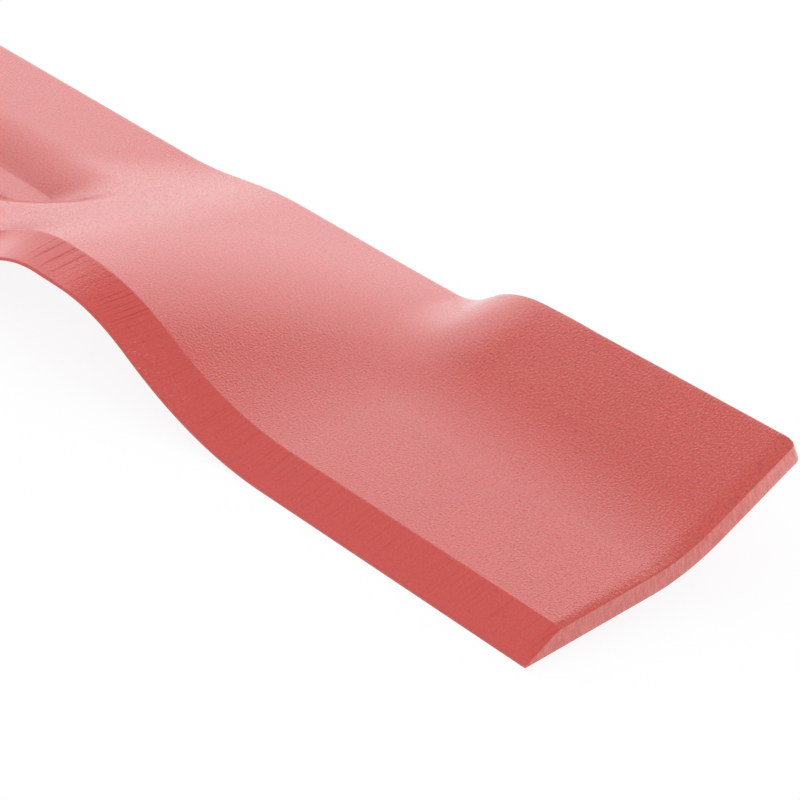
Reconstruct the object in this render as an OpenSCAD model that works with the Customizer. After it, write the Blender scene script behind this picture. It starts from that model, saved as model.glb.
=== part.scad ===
// Rotary mower blade: one bar of steel plate, sheared, ground along its cutting edges and press-formed.
// Millimetres. The bar lies along X and turns about Z; Z = 0 is the underside of the hub.
// The +X arm leads with its -Y edge. The -X arm is the same arm turned half round the Z axis.
// Places along an arm are given as distances from its tip, places across it as distances from the middle.

/* [Bar] */
// length over both tips
bar_length = 533; // [500:1:600]
// width of the bar at the hub
bar_width = 63.5; // [60:0.5:70]
// thickness of the plate
plate = 4.6; // [4:0.1:5]
// radius of the trailing corner at each tip
tip_round = 1.3; // [0.8:0.1:4]
// depth of the rolled-over shoulder along a sheared edge
roll_depth = 0.1; // [0.1:0.1:0.6]
// width of the rolled-over shoulder along a sheared edge
roll_width = 1; // [0.6:0.1:2]

/* [Hub] */
// diameter of the centre bore
bore = 16; // [10:0.5:26]

/* [Cutting edge] */
// width of the ground bevel, seen from above
bevel_width = 7.2; // [5:0.1:9]
// thickness left standing at the cutting edge
edge_land = 0.6; // [0.3:0.1:1.2]
// distance from the tip to where the bevel starts to run out
bevel_length = 165; // [150:1:175]
// length over which the bevel runs out towards the hub
bevel_runout = 14; // [8:1:20]
// depth of the cutting edge below the underside of the hub
edge_drop = 3.5; // [3.2:0.1:5]
// pitch of the cutting strip, cutting edge low
strip_pitch = 7.2; // [5:0.2:10]

/* [Raised inner arm] */
// height of the raised arm's leading side above the hub
wave_lead = 10.2; // [8:0.1:13]
// height of the raised arm's trailing side above the hub
wave_trail = 2.7; // [1:0.1:5]
// distance from the tip to the foot of the climb, at the cutting edge
climb_foot = 86; // [80:1:90]
// length of the climb along the bar
climb_length = 27; // [24:1:34]
// shift of the climb towards the tip for each unit of width
climb_slant = 0.62; // [0.4:0.02:0.8]
// bow of the climb's line towards the hub, at the bar's middle
climb_bow = 9; // [0:1:12]
// half length of the hollow bend at the foot of the climb, at the leading side
foot_lead = 20.5; // [14:0.5:24]
// half length of the hollow bend at the foot of the climb, at the trailing side
foot_trail = 3; // [2:0.5:12]
// half length of the crest bend at the top of the climb, at the leading side
crest_lead = 10.5; // [6:0.5:14]
// half length of the crest bend at the top of the climb, at the trailing side
crest_trail = 36; // [20:1:40]
// distance from the tip to the start of the fall to the hub
fall_start = 137.2; // [134:0.2:140]
// length of the fall to the hub, at both edges of the bar
fall_length = 20; // [18:1:26]
// half length of the bends at both ends of the fall
fall_bend = 6.7; // [5:0.1:8]
// how much sooner the fall starts between the edges
fall_early = 6; // [0:1:10]
// how much later the fall ends between the edges
fall_late = 40; // [10:1:44]
// how much longer the bend at the end of the fall is between the edges
fall_soft = 28; // [5:1:30]
// distance from the middle to the line, behind the cutting edge, where the fall starts to be drawn out
fall_inner = 25; // [23:0.5:26]
// half width of the bend along that line
fall_inner_bend = 3; // [2.5:0.5:5]
// power by which the drawing out grows behind that line
fall_grows = 3; // [2:0.5:3.5]
// power by which the drawing out fades towards the trailing edge
fall_fades = 1.4; // [1:0.1:2]

/* [Lift wing] */
// angle of the wing to the cutting strip
wing_angle = 22.7; // [15:0.1:28]
// distance of the wing's bend line from the bar's middle, at the tip
wing_line = 4.8; // [3:0.1:8]
// drift of the bend line towards the trailing edge for each unit of length
wing_drift = 0.034; // [0:0.002:0.08]
// half width of the wing's bend
wing_bend = 8; // [6:0.5:10]
// length of the wing at full height
wing_length = 65.5; // [60:0.5:70]
// length of the wing's inner end, from full height to nothing
wing_end = 15; // [13:0.5:18]
// half length of the bends at both ends of the wing's inner end
wing_end_bend = 6; // [3:0.5:6.5]
// how far the bending draws in the wing's outer edge
wing_pull = 2; // [1:0.1:3]

/* [Stiffening groove] */
// depth of the groove's floor below the hub
groove_depth = 3.1; // [1:0.1:3.1]
// distance of the groove's axis from the bar's middle, towards the cutting edge
groove_axis = 3.7; // [2:0.1:4.5]
// distance from the tip to the centre of the groove's round outer end
groove_outer = 169; // [165:0.5:174]
// distance from the hub's axis to the centre of the groove's round inner end
groove_hub = 62; // [60:1:70]
// how much farther the gentle wall reaches where it runs out round the ends
end_reach = 8; // [4:0.5:9]
// distance from the groove's axis to the foot of its steep wall
near_foot = 4.5; // [4:0.1:4.8]
// distance from the groove's axis to the lip of its steep wall
near_lip = 11.5; // [11.2:0.1:12]
// half width of the bend at the foot of the steep wall
near_foot_bend = 3; // [2.8:0.1:3.2]
// half width of the bend at the lip of the steep wall
near_lip_bend = 2.5; // [2:0.1:3]
// distance from the groove's axis to the foot of its gentle wall
far_foot = 5.2; // [4.5:0.1:5.5]
// distance from the groove's axis to the lip of its gentle wall
far_lip = 12.9; // [12.5:0.1:14]
// half width of the bend at the foot of the gentle wall
far_foot_bend = 1.3; // [1.3:0.1:2]
// half width of the bend at the lip of the gentle wall
far_lip_bend = 3.5; // [3:0.5:4.5]

/* [Hidden] */
half = bar_width / 2;
half_length = bar_length / 2;
strip_rise = tan(strip_pitch);
wing_rise = tan(strip_pitch + wing_angle) - strip_rise;
climb_top = climb_foot + climb_length;
fall_end = fall_start + fall_length;
groove_inner = half_length - groove_hub;
groove_reach = far_lip + far_lip_bend + end_reach / 2;
run_through = 1;
bore_faces = 96;

// zero up to a, then a slope of one, with the corner at a rounded over r on each side
function bend(v, a, r) = v <= a - r ? 0 : v >= a + r ? v - a : pow(v - a + r, 2) / (4 * r);
// zero before a and one after b, with corners rounded over ra and rb
function ramp(v, a, b, ra, rb) = (bend(v, a, ra) - bend(v, b, rb)) / (b - a);
// from a at share nought to b at share one
function between(share, a, b) = a + (b - a) * share;
// from a at the leading side to b at the trailing side
function across_bar(y, a, b) = between((y + half) / bar_width, a, b);

// the cutting strip, pitched cutting edge low
function strip(y) = strip_rise * (y + half) - edge_drop;

// the lift wing, a bend along the trailing side that fades out at its inner end
function winged(u) = 1 - ramp(u, wing_length, wing_length + wing_end, wing_end_bend, wing_end_bend);
function wing(u, y) = wing_rise * bend(y, wing_line + wing_drift * u, wing_bend) * winged(u);

// the raised inner arm, reached by a slanting, bowed climb and left by a fall drawn out between the edges
function wave(y) = across_bar(y, wave_lead, wave_trail);
function climb_shift(y) = climb_slant * (y + half) - climb_bow * (1 - pow(y / half, 2));
function climb(u, y) =
    ramp(u + climb_shift(y), climb_foot, climb_top,
        across_bar(y, foot_lead, foot_trail), across_bar(y, crest_lead, crest_trail));
function left_inside(y) = max(0, 1 - bend(y, -fall_inner, fall_inner_bend) / (half + fall_inner));
function drawn_out(y) = pow(left_inside(y), fall_fades) * (1 - pow(left_inside(y), fall_grows));
function fall(u, y) =
    let (drawn = drawn_out(y))
        ramp(u, fall_start - fall_early * drawn, fall_end + fall_late * drawn,
            fall_bend, fall_bend + fall_soft * drawn);

// the stiffening groove: one over its floor, nought outside, by the distance to its axis;
// its steep wall blends into its gentle wall round the ends, where that reaches farther out
function beyond_ends(u) = max(0, groove_outer - u, u - groove_inner);
function groove(u, y) =
    let (off = y + groove_axis)
    let (distance = norm([beyond_ends(u), off]))
    let (far = distance > 0 ? (1 + off / distance) / 2 : 0)
    let (ahead = distance > 0 ? pow(beyond_ends(u) / distance, 2) : 0)
        1 - ramp(distance, between(far, near_foot, far_foot),
            between(far, near_lip, far_lip) + end_reach * far * ahead,
            between(far, near_foot_bend, far_foot_bend), between(far, near_lip_bend, far_lip_bend));

// height of the underside
function arm(u, y) = strip(y) + wing(u, y) + (wave(y) - strip(y)) * climb(u, y);
function raised(u, y) = arm(u, y) * (1 - fall(u, y));
function under(u, y) = let (g = groove(u, y)) raised(u, y) * (1 - g) - groove_depth * g;

// the trailing edge, with its rounded corner at the tip
function corner(u) = u >= tip_round ? 0 : tip_round - sqrt(pow(tip_round, 2) - pow(tip_round - u, 2));
function trailing(u) = half - wing_pull * winged(u) - corner(u);

// plate left above the underside: the bevel takes most of the leading edge, the shoulders a little
function ground(u) = 1 - ramp(u, bevel_length, bevel_length + bevel_runout, 1, 1);
function lead_width(u) = roll_width + (bevel_width - roll_width) * ground(u);
function lead_depth(u) = roll_depth + (plate - edge_land - roll_depth) * ground(u);
function lead_cut(u, y) = lead_depth(u) * max(0, 1 - (y + half) / lead_width(u));
function trail_cut(u, y) = roll_depth * max(0, 1 - (trailing(u) - y) / roll_width);
function thickness(u, y) = plate - lead_cut(u, y) - trail_cut(u, y);

// a point of the +X arm, on the underside for s = 0 and on top for s = 1; the plate stands square
step = 0.05;
function slope_x(u, y) = (under(u - step, y) - under(u + step, y)) / (2 * step);
function slope_y(u, y) = (under(u, y + step) - under(u, y - step)) / (2 * step);
function unit(v) = v / norm(v);
function square_out(u, y) = unit([-slope_x(u, y), -slope_y(u, y), 1]);
function point(u, y, s) = [half_length - u, y, under(u, y)] + s * thickness(u, y) * square_out(u, y);

// lines along the bar, as distances from its middle: over the groove, over the flat, and at the edges
groove_edge = groove_axis + near_lip + near_lip_bend;
groove_lines = [for (part = [0.09, 0.23, 0.38, 0.52, 0.64, 0.76, 0.87, 1]) part * groove_edge];
bevel_top = half - bevel_width;
flat_lines = [(groove_edge + bevel_top) / 2];
side_lines = concat(groove_lines, flat_lines, [bevel_top, half - roll_width, half]);
lines = concat([for (k = [len(side_lines) - 1:-1:0]) -side_lines[k]], [0], side_lines);

// stations along one arm, from the tip to the hub's axis, close together where the plate is bent
function steps(a, b, n) = [for (k = [1:n]) a + (b - a) * k / n];
climb_begins = climb_foot - foot_lead - wing_end_bend;
fall_begins = fall_start - fall_bend - fall_early / 2;
groove_begins = groove_outer - groove_reach;
groove_gone = groove_inner + groove_reach;
stations = concat(
    [0],
    [for (turn = [30, 60, 90]) tip_round * (1 - cos(turn))],
    steps(tip_round, climb_begins, 5),
    steps(climb_begins, fall_begins, 19),
    steps(fall_begins, groove_begins, 8),
    steps(groove_begins, groove_outer, 9),
    steps(groove_outer, groove_inner, 4),
    steps(groove_inner, groove_gone, 6),
    steps(groove_gone, half_length, 2)
);

// one ring of points round the bar at each station: along the underside, then back over the top
count = len(lines);
function line_y(u, k) = lines[k] > 0 ? lines[k] * trailing(u) / half : lines[k];
function ring(u) = concat(
    [for (k = [0:count - 1]) point(u, line_y(u, k), 0)],
    [for (k = [count - 1:-1:0]) point(u, line_y(u, k), 1)]
);
function turned(p) = [-p[0], -p[1], p[2]];
function turned_ring(u) = let (r = ring(u)) concat(
    [for (k = [count - 1:-1:0]) turned(r[k])],
    [for (k = [2 * count - 1:-1:count]) turned(r[k])]
);
rings = concat(
    [for (u = stations) ring(u)],
    [for (k = [len(stations) - 2:-1:0]) turned_ring(stations[k])]
);
size = 2 * count;
last = len(rings) - 1;

// the formed bar as one closed skin
module bar() {
    points = [for (r = rings) each r];
    skin = [
        for (i = [0:last - 1])
            for (k = [0:size - 1])
                let (a = i * size + k)
                let (b = i * size + (k + 1) % size)
                    each [[a, b, b + size], [a, b + size, a + size]]
    ];
    first_tip = [
        for (k = [0:count - 2])
            let (top = size - 1 - k)
                each [[k, top - 1, k + 1], [k, top, top - 1]]
    ];
    other_tip = [for (f = first_tip) [f[0], f[2], f[1]] + last * size * [1, 1, 1]];
    polyhedron(points = points, faces = concat(skin, first_tip, other_tip), convexity = 12);
}

module blade() {
    color([0.75, 0.15, 0.11])
        difference() {
            bar();
            translate([0, 0, -run_through])
                cylinder(h = plate + 2 * run_through, d = bore, $fn = bore_faces);
        }
}

blade();
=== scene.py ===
# %% [markdown]
# A rotary mower blade is one bar of steel plate. It is sheared to length, ground along its two
# cutting edges, pressed into shape and then powder coated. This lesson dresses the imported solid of
# such a blade: a finer skin with soft edges, a coat of red powder paint, and a plain white studio.
# The first step is to load the solid, because everything after it is built in the same place and size.

import math

import bmesh
import bpy
import numpy as np
from mathutils import Matrix, Vector


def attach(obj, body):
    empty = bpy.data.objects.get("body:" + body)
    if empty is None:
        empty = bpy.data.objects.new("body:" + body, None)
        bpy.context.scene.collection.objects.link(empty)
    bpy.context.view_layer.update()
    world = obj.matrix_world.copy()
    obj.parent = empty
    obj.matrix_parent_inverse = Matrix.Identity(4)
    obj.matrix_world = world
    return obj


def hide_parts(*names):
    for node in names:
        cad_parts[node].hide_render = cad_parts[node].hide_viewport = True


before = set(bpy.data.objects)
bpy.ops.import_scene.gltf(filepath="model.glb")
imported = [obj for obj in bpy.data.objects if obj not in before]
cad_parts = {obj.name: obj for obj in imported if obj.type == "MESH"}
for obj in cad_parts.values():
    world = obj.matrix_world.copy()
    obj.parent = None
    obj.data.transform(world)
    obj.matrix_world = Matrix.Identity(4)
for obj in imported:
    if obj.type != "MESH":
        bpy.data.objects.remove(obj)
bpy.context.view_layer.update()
print("nodes:", sorted(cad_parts))

# %% [markdown]
# The photographer stood low and close to one tip with a long lens, so that arm fills the picture and the
# rest of the bar runs out of it. A camera could be aimed with a Track To constraint, but the picture is
# also rolled a few degrees. So the three directions of the camera (right, up and back) are worked out
# from its compass angle, its height angle and its roll, and go straight into its matrix.

# %% Camera
LENS_MM = 150.1
SENSOR_MM = 36.0
COMPASS = math.radians(45.287)
HEIGHT = math.radians(28.748)
ROLL = math.radians(5.729)
TIP = Vector((0.2665, 0.0, 0.0))
STAND_OFF = 0.5448
ASIDE = -0.0436
ABOVE = 0.0310
NEAR_CLIP = 0.01


def camera_matrix():
    level = Vector((math.cos(COMPASS), math.sin(COMPASS), 0))
    back = Vector(
        (
            math.sin(COMPASS) * math.cos(HEIGHT),
            -math.cos(COMPASS) * math.cos(HEIGHT),
            math.sin(HEIGHT),
        )
    )
    right = level * math.cos(ROLL) + back.cross(level) * math.sin(ROLL)
    up = back.cross(right)
    place = TIP + back * STAND_OFF + right * ASIDE + up * ABOVE
    return Matrix((right, up, back)).transposed().to_4x4(), place


def add_camera():
    camera = bpy.data.objects.new("camera", bpy.data.cameras.new("camera"))
    camera.data.lens = LENS_MM
    camera.data.sensor_width = SENSOR_MM
    camera.data.clip_start = NEAR_CLIP
    turned, place = camera_matrix()
    camera.matrix_world = Matrix.Translation(place) @ turned
    bpy.context.scene.collection.objects.link(camera)
    bpy.context.scene.camera = camera
    return camera


camera = add_camera()
print("camera stands at", [round(c, 4) for c in camera.matrix_world.translation])

# %% [markdown]
# The sizes of the blade are kept in millimetres, as on a drawing, and turned into metres only when the
# mesh is made. Places along an arm are distances from its tip, and places across it are distances from
# the middle line, with the cutting edge on the minus side. Keeping the maker's own numbers makes sure
# that this skin and the solid under it stay the same shape.

# %% Sizes of the plate
LENGTH = 533.0
WIDTH = 63.5
PLATE = 4.6
HALF = WIDTH / 2
ARM = LENGTH / 2
BORE_RADIUS = 8.0
EDGE_DROP = 3.5
STRIP_PITCH = math.radians(7.2)
STRIP_RISE = math.tan(STRIP_PITCH)
print(f"bar {LENGTH} x {WIDTH} x {PLATE} mm")

# %% [markdown]
# A press never leaves a sharp corner: each bend is an arc between two straight runs. One could model the
# bends with a Bevel modifier, but here they run into each other, so the shape is a sum of simple terms.
# Two helpers are enough. One is flat, then climbs at a slope of one, with a rounded corner between. The
# other goes from nought to one between two places, and is just the difference of two of the first kind.


# %% Rounded bends
def bend(v, place, r):
    rounded = (v - place + r) ** 2 / (4 * r)
    return np.where(v <= place - r, 0.0, np.where(v >= place + r, v - place, rounded))


def ramp(v, start, end, r_start, r_end):
    return (bend(v, start, r_start) - bend(v, end, r_end)) / (end - start)


print("a ramp from 2 to 4, at 3:", float(ramp(np.array(3.0), 2, 4, 0.5, 0.5)))

# %% [markdown]
# Along the outer part of each arm the trailing side is turned up into a lift wing, which sucks the grass
# upright before it is cut. The wing's bend line drifts a little towards the trailing edge, and the wing
# fades out at its inner end. It is added to the cutting strip, which is pitched with its edge low.

# %% Cutting strip and lift wing
WING_ANGLE = math.radians(22.7)
WING_RISE = math.tan(STRIP_PITCH + WING_ANGLE) - STRIP_RISE
WING_LINE, WING_DRIFT, WING_BEND = 4.8, 0.034, 8.0
WING_LENGTH, WING_END, WING_END_BEND = 65.5, 15.0, 6.0
WING_PULL = 2.0


def strip(y):
    return STRIP_RISE * (y + HALF) - EDGE_DROP


def winged(u):
    return 1 - ramp(u, WING_LENGTH, WING_LENGTH + WING_END, WING_END_BEND, WING_END_BEND)


def wing(u, y):
    return WING_RISE * bend(y, WING_LINE + WING_DRIFT * u, WING_BEND) * winged(u)


wing_corner = np.array(0.0), np.array(HALF - WING_PULL)
print("wing stands", round(float(wing(*wing_corner)), 1), "mm above the strip")

# %% [markdown]
# Between the cutting strip and the hub the arm is raised, more at its leading side than behind. The climb
# to it crosses the bar at a slant and bows towards the hub. Its foot is a wide hollow at the cutting edge
# and a tight one at the back, and its crest is the other way round. The fall to the hub is square at both
# edges of the bar and drawn out between them, most of all behind the cutting edge.

# %% Raised inner arm
WAVE_LEAD, WAVE_TRAIL = 10.2, 2.7
CLIMB_FOOT, CLIMB_LENGTH, CLIMB_SLANT, CLIMB_BOW = 86.0, 27.0, 0.62, 9.0
FOOT_LEAD, FOOT_TRAIL = 20.5, 3.0
CREST_LEAD, CREST_TRAIL = 10.5, 36.0
FALL_START, FALL_LENGTH, FALL_BEND = 137.2, 20.0, 6.7
FALL_EARLY, FALL_LATE, FALL_SOFT = 6.0, 40.0, 28.0
FALL_INNER, FALL_INNER_BEND, FALL_FADES, FALL_GROWS = -25.0, 3.0, 1.4, 3.0


def across_bar(y, lead, trail):
    return lead + (trail - lead) * (y + HALF) / WIDTH


def climb(u, y):
    shifted = u + CLIMB_SLANT * (y + HALF) - CLIMB_BOW * (1 - (y / HALF) ** 2)
    foot = across_bar(y, FOOT_LEAD, FOOT_TRAIL)
    crest = across_bar(y, CREST_LEAD, CREST_TRAIL)
    return ramp(shifted, CLIMB_FOOT, CLIMB_FOOT + CLIMB_LENGTH, foot, crest)


def fall(u, y):
    left = np.clip(1 - bend(y, FALL_INNER, FALL_INNER_BEND) / (HALF - FALL_INNER), 0, 1)
    drawn = left**FALL_FADES * (1 - left**FALL_GROWS)
    start = FALL_START - FALL_EARLY * drawn
    end = FALL_START + FALL_LENGTH + FALL_LATE * drawn
    return ramp(u, start, end, FALL_BEND, FALL_BEND + FALL_SOFT * drawn)


def arm(u, y):
    return strip(y) + wing(u, y) + (across_bar(y, WAVE_LEAD, WAVE_TRAIL) - strip(y)) * climb(u, y)


crest_place = np.array(130.0), np.array(-HALF)
print("arm at its highest:", round(float(arm(*crest_place)), 1), "mm")

# %% [markdown]
# A groove with round ends is pressed into the bar beside the hub, to stiffen it. It has a level floor, a
# steep wall on the cutting side and a gentle one on the other. A swept profile would do for the straight
# part, but not for the ends. So the depth follows from the distance to the groove's axis, and the two
# walls blend into each other round the ends.

# %% Stiffening groove
GROOVE_DEPTH, GROOVE_AXIS = 3.1, -3.7
GROOVE_OUTER, GROOVE_INNER, END_REACH = 169.0, ARM - 62.0, 8.0
NEAR_FOOT, NEAR_LIP, NEAR_FOOT_BEND, NEAR_LIP_BEND = 4.5, 11.5, 3.0, 2.5
FAR_FOOT, FAR_LIP, FAR_FOOT_BEND, FAR_LIP_BEND = 5.2, 12.9, 1.3, 3.5
OFF_AXIS = 1e-6


def groove(u, y):
    beyond = np.maximum(0, np.maximum(GROOVE_OUTER - u, u - GROOVE_INNER))
    distance = np.maximum(np.hypot(beyond, y - GROOVE_AXIS), OFF_AXIS)
    far = 0.5 + 0.5 * (y - GROOVE_AXIS) / distance
    foot = NEAR_FOOT + (FAR_FOOT - NEAR_FOOT) * far
    lip = NEAR_LIP + (FAR_LIP - NEAR_LIP) * far + END_REACH * far * (beyond / distance) ** 2
    foot_bend = NEAR_FOOT_BEND + (FAR_FOOT_BEND - NEAR_FOOT_BEND) * far
    lip_bend = NEAR_LIP_BEND + (FAR_LIP_BEND - NEAR_LIP_BEND) * far
    return 1 - ramp(distance, foot, lip, foot_bend, lip_bend)


def under(u, y):
    pressed_in = groove(u, y)
    return arm(u, y) * (1 - fall(u, y)) * (1 - pressed_in) - GROOVE_DEPTH * pressed_in


floor_place = np.array(190.0), np.array(GROOVE_AXIS)
print("groove floor:", round(float(under(*floor_place)), 2), "mm")

# %% [markdown]
# The outline of the blank is a plain strip with one rounded corner at each tip. Where the wing is bent up,
# the bending draws the trailing edge in by a couple of millimetres. The shears also drag the top of the
# plate down beside each cut, which leaves a rolled shoulder and then a small round at the very edge. The
# shoulder is widest over the wing's end, where the plate was cut last.

# %% Outline and shoulders
TIP_ROUND = 1.3
TIP_ROLL_WIDE, TIP_ROLL_NARROW, TIP_ROLL_DEPTH = 3.8, 1.6, 0.55
SIDE_ROLL_WIDTH, SIDE_ROLL_DEPTH = 1.0, 0.08
EDGE_ROUND = 0.2
ROLL_GROWS_FROM, ROLL_GROWS_OVER = -20.0, 28.0


def trailing(u):
    inside = np.clip(TIP_ROUND - u, 0, TIP_ROUND)
    corner = TIP_ROUND - np.sqrt(TIP_ROUND**2 - inside**2)
    return HALF - WING_PULL * winged(u) - corner


def edge_distances(u, y):
    side = HALF - WING_PULL * winged(u) - y
    to_arc = TIP_ROUND - np.hypot(TIP_ROUND - u, TIP_ROUND - side)
    in_corner = (u < TIP_ROUND) & (side < TIP_ROUND)
    to_tip = np.where(in_corner, np.maximum(to_arc, 0), u)
    to_side = np.where(in_corner, np.maximum(to_arc, 0), np.maximum(side, 0))
    return to_tip, to_side


def shoulder(distance, width, depth):
    return depth * np.clip(1 - distance / width, 0, 1) ** 2


def rim_round(distance, r):
    inside = np.clip(r - distance, 0, r)
    return r - np.sqrt(r * r - inside**2)


def tip_roll_width(y):
    t = np.clip((y - ROLL_GROWS_FROM) / ROLL_GROWS_OVER, 0, 1)
    return TIP_ROLL_NARROW + (TIP_ROLL_WIDE - TIP_ROLL_NARROW) * t * t * (3 - 2 * t)


print("shoulder at the tip:", TIP_ROLL_DEPTH, "mm deep,", TIP_ROLL_NARROW, "to", TIP_ROLL_WIDE, "mm wide")

# %% [markdown]
# The bevel is ground on the top face before the paint goes on, and leaves a land less than a millimetre
# thick at the cutting edge. It could be cut with a Boolean, but as a plane that slides off the edge it
# also gives the run-out near the hub for nothing. Both faces are then described by their height above the
# underside, square to the plate.

# %% Bevel and both faces
BEVEL_WIDTH, EDGE_LAND, BEVEL_CREST = 7.2, 0.6, 0.15
BEVEL_LENGTH, BEVEL_RUNOUT, RUNOUT_BEND = 165.0, 14.0, 1.0
BEVEL_SLOPE = (PLATE - EDGE_LAND) / BEVEL_WIDTH
LAND_ROUND = 0.1


def ground(u):
    return 1 - ramp(u, BEVEL_LENGTH, BEVEL_LENGTH + BEVEL_RUNOUT, RUNOUT_BEND, RUNOUT_BEND)


def lead_width(u):
    return SIDE_ROLL_WIDTH + (BEVEL_WIDTH - SIDE_ROLL_WIDTH) * ground(u)


def lower_face(u, y):
    to_tip, to_side = edge_distances(u, y)
    rounds = rim_round(np.minimum(to_tip, to_side), EDGE_ROUND)
    return rounds + rim_round(y + HALF, LAND_ROUND)


def upper_face(u, y):
    to_tip, to_side = edge_distances(u, y)
    lead = y + HALF
    bevel = BEVEL_SLOPE * bend(BEVEL_WIDTH * ground(u) - lead, 0, BEVEL_CREST) * (ground(u) > 0)
    tip = shoulder(to_tip, tip_roll_width(y), TIP_ROLL_DEPTH)
    side = shoulder(to_side, SIDE_ROLL_WIDTH, SIDE_ROLL_DEPTH)
    lead_side = shoulder(lead, SIDE_ROLL_WIDTH, SIDE_ROLL_DEPTH) * (1 - ground(u))
    rolls = np.maximum(np.maximum(tip, side), lead_side)
    left = np.clip((PLATE - bevel - EDGE_LAND) / (PLATE - EDGE_LAND), 0, 1)
    rounds = rim_round(np.minimum(to_tip, to_side), EDGE_ROUND) + rim_round(lead, LAND_ROUND)
    return PLATE - bevel - rolls * left - rounds


strip_place = np.array([20.0]), np.array([-20.0])
print("plate left on the strip:", round(float(upper_face(*strip_place)[0]), 2), "mm")

# %% [markdown]
# The mesh is a grid over the blank. Its lines are close together where something is small: at the edges,
# over the bevel's crest and in the groove's crease. An even grid would need ten times the faces for the
# same crispness. On the leading side the lines follow the bevel as it runs out.

# %% Lines and stations
EDGE_LINES = [0, 0.008, 0.02, 0.04, 0.07, 0.11, 0.17, 0.26, 0.38, 0.5, 0.62, 0.74, 0.84, 0.92, 0.96, 0.98]
FLAT_LINES = [0, 0.016, 0.04, 0.12, 0.24, 0.38, 0.52, 0.66, 0.8, 0.9]
GROOVE_LINES = [16, 15.2, 14.6, 14, 13.4, 12.8, 12.2, 11.5, 10.7, 9.9, 9.1, 8.3, 7.5]
GROOVE_LINES += [6.7, 5.9, 5.1, 4.3, 3.6, 3, 2.5, 2, 1.6, 1.2, 0.8, 0.4]
FLAT_EDGE = GROOVE_LINES[0]


def side_lines(rim, edge_zone):
    inner = rim - edge_zone
    edge = [rim - edge_zone * part for part in EDGE_LINES]
    flat = [inner + (FLAT_EDGE - inner) * part for part in FLAT_LINES]
    return edge + flat + GROOVE_LINES


def lines_at(u):
    lead = [-y for y in side_lines(HALF, float(lead_width(u)))]
    trail = side_lines(float(trailing(u)), SIDE_ROLL_WIDTH)
    return lead + [0.0] + trail[::-1]


def stretch(start, end, step):
    count = max(1, round((end - start) / step))
    return [start + (end - start) * k / count for k in range(count)]


TIP_STATIONS = [0, 0.02, 0.05, 0.1, 0.16, 0.24, 0.36, 0.52, 0.72, 0.96, 1.25, 1.6, 2, 2.5, 3, 3.5]
BORE_BLOCK = 13.0
STRIP_START, CLIMB_START, GROOVE_END = 4.0, 58.0, 20.0
# start, end and step of each run of stations
RUNS = [
    (STRIP_START, CLIMB_START, 2.6),
    (CLIMB_START, GROOVE_OUTER - GROOVE_END, 1.25),
    (GROOVE_OUTER - GROOVE_END, GROOVE_OUTER, 0.7),
    (GROOVE_OUTER, GROOVE_INNER, 1.2),
    (GROOVE_INNER, GROOVE_INNER + GROOVE_END, 0.8),
    (GROOVE_INNER + GROOVE_END, ARM - BORE_BLOCK, 2.5),
    (ARM - BORE_BLOCK, ARM, 1.3),
]
stations = TIP_STATIONS + [u for run in RUNS for u in stretch(*run)] + [ARM]
blank_y = np.array([lines_at(np.array(float(u))) for u in stations])
blank_u = np.repeat(np.array(stations)[:, None], blank_y.shape[1], axis=1)
print("grid of one arm:", blank_y.shape)

# %% [markdown]
# Each point of the flat blank is now carried onto the pressed shape: first onto the underside, then out
# along the plate's own normal by the height of the face. The second arm is the first one turned half
# round, so it is copied by changing two signs, with rows and columns in the other order.

# %% Pressed skins
SLOPE_STEP = 0.05


def pressed(u, y, height):
    slope_x = (under(u - SLOPE_STEP, y) - under(u + SLOPE_STEP, y)) / (2 * SLOPE_STEP)
    slope_y = (under(u, y + SLOPE_STEP) - under(u, y - SLOPE_STEP)) / (2 * SLOPE_STEP)
    out = np.stack([-slope_x, -slope_y, np.ones_like(u)], -1)
    out /= np.linalg.norm(out, axis=-1, keepdims=True)
    return np.stack([ARM - u, y, under(u, y)], -1) + height[..., None] * out


def both_arms(one_arm):
    turned = one_arm[-2::-1, ::-1] * np.array([-1.0, -1.0, 1.0])
    return np.concatenate([one_arm, turned])


lower_height = lower_face(blank_u, blank_y)
upper_height = upper_face(blank_u, blank_y)
lower = both_arms(pressed(blank_u, blank_y, lower_height))
upper = both_arms(pressed(blank_u, blank_y, upper_height))
lower_blank = both_arms(np.stack([ARM - blank_u, blank_y, lower_height], -1))
upper_blank = both_arms(np.stack([ARM - blank_u, blank_y, upper_height], -1))
rows, columns = upper.shape[:2]
print("skins:", rows, "by", columns, "points each")

# %% [markdown]
# Three kinds of faces close the body. The two skins are grids. The sheared rim joins their outlines with a
# few rows, so that the paint can show the marks of the shears there. Around the bore a block of the grid
# is left out and filled with rings that go from the block's square outline to the circle, which keeps the
# hole round without a Boolean. A collector class holds points, their places on the flat blank and faces.


# %% Skins and rim
class Shell:
    def __init__(self):
        self.points, self.blank, self.faces, self.kinds = [], [], [], []

    def add_points(self, points, blank):
        first = len(self.points)
        self.points.extend(points.reshape(-1, 3).tolist())
        self.blank.extend(blank.reshape(-1, 3).tolist())
        return first + np.arange(points.size // 3).reshape(points.shape[:-1])

    def add_bands(self, loops, kind):
        count = len(loops[0])
        for near, far in zip(loops, loops[1:]):
            for k in range(count):
                after = (k + 1) % count
                self.faces.append((near[k], near[after], far[after], far[k]))
                self.kinds.append(kind)


def outline(grid):
    return np.concatenate([grid[:-1, 0], grid[-1, :-1], grid[:0:-1, -1], grid[0, :0:-1]])


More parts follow.
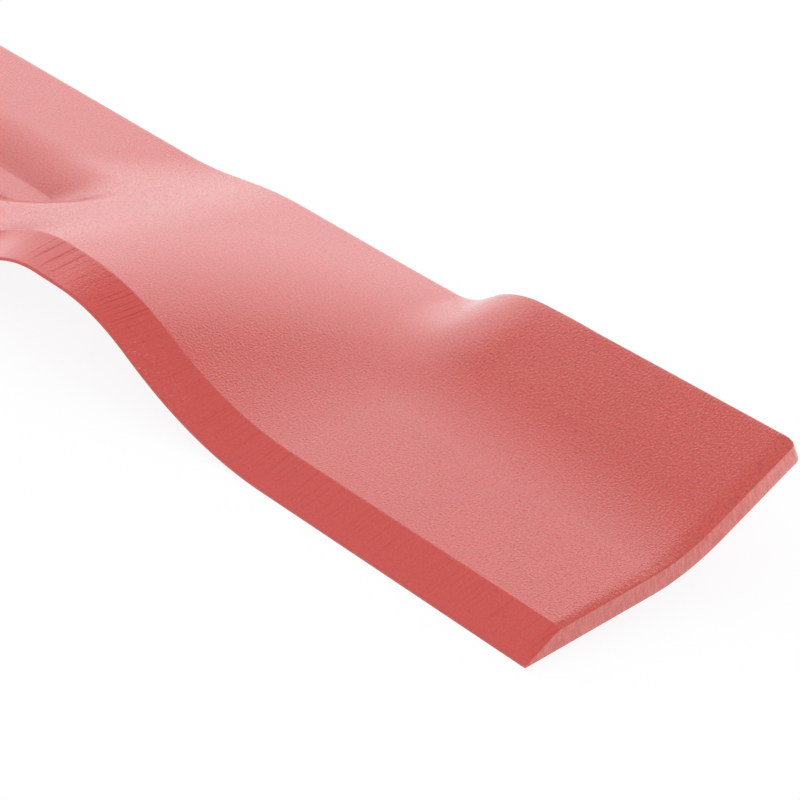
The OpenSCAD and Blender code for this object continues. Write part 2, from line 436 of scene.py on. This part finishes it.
RIM_ROWS = 5
shell = Shell()
low_grid = shell.add_points(lower, lower_blank)
high_grid = shell.add_points(upper, upper_blank)
rim_loops = [outline(low_grid)]
for row in range(1, RIM_ROWS):
    share = row / RIM_ROWS
    rim_points = outline(lower) * (1 - share) + outline(upper) * share
    rim_blank = outline(lower_blank) * (1 - share) + outline(upper_blank) * share
    rim_loops.append(shell.add_points(rim_points, rim_blank))
rim_loops.append(outline(high_grid))
shell.add_bands(rim_loops, "rim")
print("rim:", len(shell.faces), "faces")

# %% [markdown]
# The bore takes the spindle bolt. A hole punched in plate has a slightly rounded mouth, which also catches
# the light, so the rings end in a small round before they go down the wall. A hair of a hundredth of a
# millimetre keeps rounding errors from moving a row across the border of the left-out block.

# %% Bore and grid faces
MOUTH_ROUND = 0.4
RING_SHARES = [0.3, 0.6, 0.85]
MOUTH_TURNS = [0, 30, 60, 90]
HAIR = 0.01
hub_row = len(stations) - 1
block_rows = int(np.sum(np.array(stations) > ARM - BORE_BLOCK + HAIR))
block_columns = columns // 2 - (len(EDGE_LINES) + len(FLAT_LINES))
top_row, bottom_row = hub_row - block_rows, hub_row + block_rows
left_column, right_column = columns // 2 - block_columns, columns // 2 + block_columns


def add_skin(grid, kind):
    for i in range(rows - 1):
        for k in range(columns - 1):
            in_rows = top_row <= i < bottom_row
            if not (in_rows and left_column <= k < right_column):
                shell.faces.append((grid[i, k], grid[i, k + 1], grid[i + 1, k + 1], grid[i + 1, k]))
                shell.kinds.append(kind)


def bore_loops(grid, height, sign):
    loop = outline(grid[top_row : bottom_row + 1, left_column : right_column + 1])
    square = np.array([shell.points[k] for k in loop])
    way = square[:, :2] / np.linalg.norm(square[:, :2], axis=1, keepdims=True)
    loops = [loop]
    for share in RING_SHARES:
        flat = square[:, :2] * (1 - share) + way * (BORE_RADIUS + MOUTH_ROUND) * share
        ring = np.column_stack([flat, np.full(len(loop), height)])
        loops.append(shell.add_points(ring, ring))
    for turn in MOUTH_TURNS:
        radius = BORE_RADIUS + MOUTH_ROUND * (1 - math.sin(math.radians(turn)))
        level = height - sign * MOUTH_ROUND * (1 - math.cos(math.radians(turn)))
        ring = np.column_stack([way * radius, np.full(len(loop), level)])
        loops.append(shell.add_points(ring, ring))
    return loops


add_skin(low_grid, "lower")
add_skin(high_grid, "upper")
high_loops = bore_loops(high_grid, PLATE, 1)
low_loops = bore_loops(low_grid, 0.0, -1)
shell.add_bands(high_loops, "upper")
shell.add_bands(low_loops, "lower")
shell.add_bands([high_loops[-1], low_loops[-1]], "bore")
print("bore:", len(high_loops[0]), "points round")

# %% [markdown]
# Three traces show how the blade was made. The shears left each tip's end face rough under the paint. The
# grinder left slanting strokes on the bevel, deepest where the arm rises, and handling left short bright
# scratches beside them, most of them near the edge. The powder settled thicker on the cutting strip than
# on the bent parts, so its peel stands higher there. Such places could be painted by hand as a texture,
# but they follow from the blank, so they are worked out for each point and kept in the mesh.

# %% Traces of making
DEEP_STROKES, LIGHT_SCRATCHES = (104.0, 110.0, 134.0, 141.0), (84.0, 90.0, 104.0, 109.0)
STROKES_ELSEWHERE, SCRATCHES_ABOVE = 0.3, 0.3
STROKE_FADE, SCRATCH_FADE = (0.7, 2.6), (1.4, 3.0)
THICK_ACROSS, THICK_ALONG = (8.0, 12.0, 33.0, 42.0), (90.0, 120.0)
THICK_RELIEF = 1.5


def between(v, begin, full, fading, end):
    return np.interp(v, [begin, full, fading, end], [0, 1, 1, 0])


def grinding_marks(u, lead, z):
    on_bevel = lead <= BEVEL_WIDTH * ground(u) + HAIR
    above_land = z > EDGE_LAND
    deep = np.interp(z, STROKE_FADE, [0, 1]) * on_bevel
    deep = deep * np.maximum(between(u, *DEEP_STROKES), STROKES_ELSEWHERE)
    near_edge = np.interp(z, SCRATCH_FADE, [1, SCRATCHES_ABOVE]) * above_land
    light = on_bevel * near_edge * between(u, *LIGHT_SCRATCHES)
    return np.column_stack([deep, light, on_bevel & above_land])


def peel_relief(u, lead):
    thick = between(lead, *THICK_ACROSS) * np.interp(u, THICK_ALONG, [1, 0])
    return 1 + (THICK_RELIEF - 1) * thick


def sheared_faces(u):
    on_end = np.array([np.min(u[list(face)]) < TIP_ROUND / 2 for face in shell.faces])
    return on_end & (np.array(shell.kinds) == "rim")


print("deep strokes from", DEEP_STROKES[1], "to", DEEP_STROKES[2], "mm from the tip")

# %% [markdown]
# The collected points become one mesh, and the traces become attributes of it, which a material can read.
# Points inside the left-out block belong to no face and are deleted, and the normals are turned outwards.
# Every face is shaded smooth, and only edges that stay sharper than the rounds are marked sharp, so the
# bevel and the shoulders read as crisp without facets showing.

# %% Blade mesh
MM = 0.001
SHARP_ANGLE = math.radians(38)


def keep(mesh, name, kind, domain, field, values):
    layer = mesh.attributes.new(name, kind, domain)
    layer.data.foreach_set(field, values.astype(np.float32).ravel())


def clean(mesh):
    work = bmesh.new()
    work.from_mesh(mesh)
    loose = [v for v in work.verts if not v.link_faces]
    bmesh.ops.delete(work, geom=loose, context="VERTS")
    bmesh.ops.recalc_face_normals(work, faces=work.faces)
    work.to_mesh(mesh)
    work.free()
    mesh.shade_smooth()
    mesh.set_sharp_from_angle(angle=SHARP_ANGLE)


mesh = bpy.data.meshes.new("formed_blade")
mesh.from_pydata((np.array(shell.points) * MM).tolist(), [], [tuple(map(int, f)) for f in shell.faces])
blank_points = np.array(shell.blank)
at_x, at_y, at_z = blank_points.T
from_tip = ARM - np.abs(at_x)
from_lead = HALF + at_y * np.sign(at_x)
keep(mesh, "blank_mm", "FLOAT_VECTOR", "POINT", "vector", blank_points)
keep(mesh, "grinding", "FLOAT_VECTOR", "POINT", "vector", grinding_marks(from_tip, from_lead, at_z))
keep(mesh, "relief", "FLOAT", "POINT", "value", peel_relief(from_tip, from_lead))
keep(mesh, "sheared", "FLOAT", "FACE", "value", sheared_faces(from_tip))
clean(mesh)
blade = bpy.data.objects.new("formed_blade", mesh)
bpy.context.scene.collection.objects.link(blade)
print("blade:", len(mesh.vertices), "points,", len(mesh.polygons), "faces")

# %% [markdown]
# A material in Blender is a graph: nodes that make values, and links that carry them on to a shader. It
# can be drawn by hand in the shader editor. Written down, it repeats the same few moves, so each gets a
# helper: a new material, a new node, a noise at a place, a band of values that is spread out, a product,
# and a mix of two colours.


# %% Node helpers
def new_material(name):
    material = bpy.data.materials.new(name)
    material.use_nodes = True
    tree = material.node_tree
    return material, tree, tree.nodes["Principled BSDF"]


def add(tree, kind, **settings):
    node = tree.nodes.new(kind)
    for key, value in settings.items():
        setattr(node, key, value)
    return node


def noise_on(tree, place, per_mm, detail, **settings):
    noise = add(tree, "ShaderNodeTexNoise", **settings)
    noise.inputs["Scale"].default_value = per_mm
    noise.inputs["Detail"].default_value = detail
    tree.links.new(place, noise.inputs["Vector"])
    return noise.outputs["Fac"]


def spread(tree, value, band, to=(0, 1)):
    node = add(tree, "ShaderNodeMapRange")
    for key, number in zip(("From Min", "From Max", "To Min", "To Max"), (*band, *to)):
        node.inputs[key].default_value = number
    tree.links.new(value, node.inputs["Value"])
    return node.outputs["Result"]


def product(tree, first, second):
    node = add(tree, "ShaderNodeMath", operation="MULTIPLY")
    tree.links.new(first, node.inputs[0])
    tree.links.new(second, node.inputs[1])
    return node.outputs[0]


def mixed(tree, share, first, second):
    node = add(tree, "ShaderNodeMix", data_type="RGBA")
    tree.links.new(share, node.inputs["Factor"])
    for socket, colour in ((node.inputs[6], first), (node.inputs[7], second)):
        if isinstance(colour, tuple):
            socket.default_value = colour
        else:
            tree.links.new(colour, socket)
    return node.outputs[2]


coat, tree, paint = new_material("red_powder_coat")
mesh.materials.append(coat)
print("material:", coat.name)

# %% [markdown]
# The coat of paint is red powder, baked on. Powder melts into a skin with a fine orange peel, semi-gloss,
# which washes out to pink where it is seen at a low angle against the bright studio. It could be painted
# in layers, but one Principled shader with a fine bump does the same. Its noises read
# the places on the flat blank, so the grain bends with the plate.

# %% Powder coat
RED, DEEP_RED = (0.485, 0.0025, 0.0005, 1.0), (0.455, 0.002, 0.0005, 1.0)
PEEL_PER_MM, PEEL_DETAIL, PEEL_BAND = 2.4, 1.5, (0.3, 0.7)
CLOUDS_PER_MM, CLOUD_DETAIL, NOISE_BAND = 0.08, 3.0, (0.35, 0.65)
ROUGHNESS = (0.09, 0.13)
PAINT_IOR = 1.84
on_blank = add(tree, "ShaderNodeAttribute", attribute_name="blank_mm").outputs["Vector"]
peel = noise_on(tree, on_blank, PEEL_PER_MM, PEEL_DETAIL)
clouds = spread(tree, noise_on(tree, on_blank, CLOUDS_PER_MM, CLOUD_DETAIL), NOISE_BAND)
colour = mixed(tree, clouds, DEEP_RED, RED)
paint.inputs["IOR"].default_value = PAINT_IOR
tree.links.new(spread(tree, peel, PEEL_BAND, ROUGHNESS), paint.inputs["Roughness"])
print("coat:", len(tree.nodes), "nodes")

# %% [markdown]
# On the ground bevel the paint lies smoother than on the rolled plate, and its red looks more vivid. A
# second material on those faces would do, but one paint stays one material here: the share that the mesh
# keeps for each point mixes the colour and calms the grain.

# %% Ground bevel
GROUND_RED = (0.54, 0.006, 0.0008, 1.0)
GROUND_GRAIN = 0.5
grinding = add(tree, "ShaderNodeAttribute", attribute_name="grinding").outputs["Vector"]
shares = add(tree, "ShaderNodeSeparateXYZ")
tree.links.new(grinding, shares.inputs[0])
stroke_share, scratch_share, ground_share = (shares.outputs[axis] for axis in "XYZ")
grain = spread(tree, ground_share, (0, 1), (1, GROUND_GRAIN))
colour = mixed(tree, ground_share, colour, GROUND_RED)
print("grain left on the bevel:", GROUND_GRAIN)

# %% [markdown]
# Baked powder is never quite even. Fine pale specks make up half of the visible grain, and here and there
# a dark pit is left. A picture of real paint could be laid on instead, but its repeats would show on a
# long bar. Both are noises again: the specks use the whole of one, the pits only the rare crests of
# another.

# %% Specks and pits
SPECK_RED, PIT_RED = (0.565, 0.040, 0.014, 1.0), (0.36, 0.002, 0.0005, 1.0)
SPECKS_PER_MM, SPECK_DETAIL = 2.6, 2.0
PITS_PER_MM, PIT_DETAIL, PIT_CRESTS = 1.5, 0.0, (0.74, 0.81)
specks = spread(tree, noise_on(tree, on_blank, SPECKS_PER_MM, SPECK_DETAIL), NOISE_BAND)
pits = spread(tree, noise_on(tree, on_blank, PITS_PER_MM, PIT_DETAIL), PIT_CRESTS)
colour = mixed(tree, product(tree, specks, grain), colour, SPECK_RED)
colour = mixed(tree, product(tree, pits, grain), colour, PIT_RED)
print("specks:", SPECKS_PER_MM, "per mm, pits:", PITS_PER_MM, "per mm at most")

# %% [markdown]
# The grinding strokes are long thin noises: the same noise, read in a frame that is turned to the stroke
# and stretched along it. They could be modelled as grooves, but they are finer than the mesh. Only the
# crests of the noise are kept. The deep strokes are dulled, and their darker red is painted shade lying in
# the grooves. The light scratches are scraped nearly to the primer.

# %% Grinding strokes
STROKE_SHADE_RED, SCRAPED = (0.44, 0.005, 0.001, 1.0), (0.70, 0.19, 0.15, 1.0)
STROKE_TURN = math.radians(-17)
STROKE_DETAIL = 1.5
DEEP_SIZE, DEEP_CRESTS = (0.4, 22.0), (0.545, 0.65)
LIGHT_SIZE, LIGHT_CRESTS = (0.17, 0.9), (0.66, 0.8)
STROKE_GLOSS = (0.5, 0.3)


def strokes(tree, size, crests):
    turned = add(tree, "ShaderNodeMapping", vector_type="TEXTURE")
    turned.inputs["Rotation"].default_value = (0, 0, STROKE_TURN)
    turned.inputs["Scale"].default_value = (*size, 1)
    tree.links.new(on_blank, turned.inputs["Vector"])
    noise = noise_on(tree, turned.outputs[0], 1.0, STROKE_DETAIL, noise_dimensions="2D")
    return spread(tree, noise, crests)


deep = product(tree, strokes(tree, DEEP_SIZE, DEEP_CRESTS), stroke_share)
light = product(tree, strokes(tree, LIGHT_SIZE, LIGHT_CRESTS), scratch_share)
# the deep strokes' darker red is painted shade in the grooves of the grinding marks
colour = mixed(tree, deep, colour, STROKE_SHADE_RED)
colour = mixed(tree, light, colour, SCRAPED)
tree.links.new(spread(tree, deep, (0, 1), STROKE_GLOSS), paint.inputs["Specular IOR Level"])
print("strokes stand", round(90 + math.degrees(STROKE_TURN), 1), "degrees to the edge")

# %% [markdown]
# On the sheared ends the paint lies thin over the tear marks, which run through the plate's thickness.
# Their paler pink with fine streaks is partly that thin coat and partly a painted sheen, where the rough
# tear marks catch the light. They could be cut into the mesh, but the trick of the strokes serves again: a
# noise stretched along one axis.

# %% Sheared ends
THIN_COAT_SHEEN, THINNER_COAT_SHEEN = (0.56, 0.065, 0.05, 1.0), (0.68, 0.135, 0.11, 1.0)
TEARS_PER_MM, TEAR_DETAIL = (1.7, 1.7, 0.45), 4.0
tears = add(tree, "ShaderNodeMapping")
tears.inputs["Scale"].default_value = TEARS_PER_MM
tree.links.new(on_blank, tears.inputs["Vector"])
tear_marks = spread(tree, noise_on(tree, tears.outputs[0], 1.0, TEAR_DETAIL), NOISE_BAND)
sheared = add(tree, "ShaderNodeAttribute", attribute_name="sheared").outputs["Fac"]
# the ends' pale pink is partly thin coat and partly painted sheen of the tear marks
colour = mixed(tree, sheared, colour, mixed(tree, tear_marks, THIN_COAT_SHEEN, THINNER_COAT_SHEEN))
tree.links.new(colour, paint.inputs["Base Color"])
print("tear marks:", TEARS_PER_MM, "per mm along the bar, across it and through it")

# %% [markdown]
# The peel stands out of the paint by a few hundredths of a millimetre, and the deep strokes lie in it.
# Real displacement of so fine a grain would take millions of faces. A Bump node does it without any: it
# reads the height and only tilts the shading.

# %% Relief of the paint
STROKE_DEPTH = 0.1
PEEL_HEIGHT = 0.00011
relief = add(tree, "ShaderNodeAttribute", attribute_name="relief").outputs["Fac"]
height = add(tree, "ShaderNodeMath", operation="MULTIPLY_ADD")
height.inputs[1].default_value = -STROKE_DEPTH
tree.links.new(deep, height.inputs[0])
tree.links.new(product(tree, product(tree, peel, grain), relief), height.inputs[2])
bump = add(tree, "ShaderNodeBump")
bump.inputs["Strength"].default_value = 1.0
bump.inputs["Distance"].default_value = PEEL_HEIGHT
tree.links.new(height.outputs[0], bump.inputs["Height"])
tree.links.new(bump.outputs["Normal"], paint.inputs["Normal"])
print("finish:", len(tree.nodes), "nodes")

# %% [markdown]
# The studio is a white room. It shows white to the camera and in reflections, and gives a gentle light
# from every side. A real backdrop could be modelled, but the world's own background does it with two
# shaders: one for what is seen or mirrored, and one for the light.

# %% White room
WHITE = (1, 1, 1, 1)
ROOM_LIGHT = 0.99


def seen_or_mirrored(tree):
    path = add(tree, "ShaderNodeLightPath")
    shown = path.outputs["Is Camera Ray"]
    for ray in ("Is Glossy Ray", "Is Transmission Ray"):
        either = add(tree, "ShaderNodeMath", operation="MAXIMUM")
        tree.links.new(shown, either.inputs[0])
        tree.links.new(path.outputs[ray], either.inputs[1])
        shown = either.outputs[0]
    return shown


def white_room():
    world = bpy.data.worlds.new("white_room")
    bpy.context.scene.world = world
    world.use_nodes = True
    tree = world.node_tree
    tree.nodes.clear()
    light = add(tree, "ShaderNodeBackground")
    light.inputs["Color"].default_value = WHITE
    light.inputs["Strength"].default_value = ROOM_LIGHT
    white = add(tree, "ShaderNodeBackground")
    white.inputs["Color"].default_value = WHITE
    mix = add(tree, "ShaderNodeMixShader")
    out = add(tree, "ShaderNodeOutputWorld")
    tree.links.new(seen_or_mirrored(tree), mix.inputs["Fac"])
    tree.links.new(light.outputs[0], mix.inputs[1])
    tree.links.new(white.outputs[0], mix.inputs[2])
    tree.links.new(mix.outputs[0], out.inputs["Surface"])


white_room()
print("light of the room:", ROOM_LIGHT)

# %% [markdown]
# The blade lies on a white table, on its two cutting edges. A plain white floor would turn grey under
# soft light, and a glowing one would lose the shadow. So the table is mostly glow where it is seen or
# mirrored, and a tenth of it stays plain paint that keeps a faint shadow.

# %% White table
TABLE_HALF = 3.0
TABLE_WHITE = (0.9, 0.9, 0.9, 1)
SHADOW_SHARE = 0.1
lowest = min(v.co.z for v in mesh.vertices)


def table_paint():
    material, tree, shader = new_material("white_table")
    tree.nodes.remove(shader)
    diffuse = add(tree, "ShaderNodeBsdfDiffuse")
    diffuse.inputs["Color"].default_value = TABLE_WHITE
    glow = add(tree, "ShaderNodeEmission")
    share = add(tree, "ShaderNodeMath", operation="MULTIPLY")
    share.inputs[1].default_value = 1 - SHADOW_SHARE
    mix = add(tree, "ShaderNodeMixShader")
    tree.links.new(seen_or_mirrored(tree), share.inputs[0])
    tree.links.new(share.outputs[0], mix.inputs["Fac"])
    tree.links.new(diffuse.outputs[0], mix.inputs[1])
    tree.links.new(glow.outputs[0], mix.inputs[2])
    tree.links.new(mix.outputs[0], tree.nodes["Material Output"].inputs["Surface"])
    return material


def white_table():
    plane = bpy.data.meshes.new("table")
    corners = [(-1, -1), (1, -1), (1, 1), (-1, 1)]
    plane.from_pydata([(TABLE_HALF * x, TABLE_HALF * y, lowest) for x, y in corners], [], [(0, 1, 2, 3)])
    plane.materials.append(table_paint())
    table = bpy.data.objects.new("table", plane)
    bpy.context.scene.collection.objects.link(table)
    return table


floor = white_table()
print("table at", round(lowest / MM, 2), "mm")

# %% [markdown]
# One big, slightly cool soft light stands behind the blade, and a weaker one lies on the table there, as
# a lit paper sweep would. Point lights would leave hard glints on the paint. Paint that is seen at a very
# low angle mirrors the sweep and turns nearly white, which draws the hollow beside the wing.

# %% Lights
SOFTBOX_SIZE, SOFTBOX_POWER, SOFTBOX_COLOUR = (3.4, 2.4), 20.3, (0.955, 0.955, 1.0)
SOFTBOX_BEHIND, SOFTBOX_UP = 1.5, Vector((0, 0, 1.2))
SWEEP_SIZE, SWEEP_POWER = (3.0, 1.5), 4.0
SWEEP_BEHIND, SWEEP_LIFT = 0.79, 0.0005


def soft_light(name, place, aim, size, power):
    lamp = bpy.data.lights.new(name, "AREA")
    lamp.shape = "RECTANGLE"
    lamp.size, lamp.size_y = size
    lamp.energy = power
    light = bpy.data.objects.new(name, lamp)
    light.location = place
    light.rotation_euler = (aim - place).to_track_quat("-Z", "Y").to_euler()
    bpy.context.scene.collection.objects.link(light)
    return light


away = Vector((-math.sin(COMPASS), math.cos(COMPASS), 0))
softbox_place = TIP + away * SOFTBOX_BEHIND + SOFTBOX_UP
softbox = soft_light("back_softbox", softbox_place, TIP + SOFTBOX_UP, SOFTBOX_SIZE, SOFTBOX_POWER)
softbox.data.color = SOFTBOX_COLOUR
sweep_place = Vector((0, SWEEP_BEHIND, lowest + SWEEP_LIFT))
sweep = soft_light("lit_sweep", sweep_place, sweep_place + Vector((0, 0, 1)), SWEEP_SIZE, SWEEP_POWER)
sweep.visible_camera = False
print("lights:", softbox.name, SOFTBOX_POWER, "W,", sweep.name, SWEEP_POWER, "W")

# %% [markdown]
# The last step hands the skin over: it rides on the only body and stands for the solid, which is hidden.

# %% Hand over
bpy.context.scene.view_settings.view_transform = "Standard"
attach(blade, "root")
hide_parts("blade")
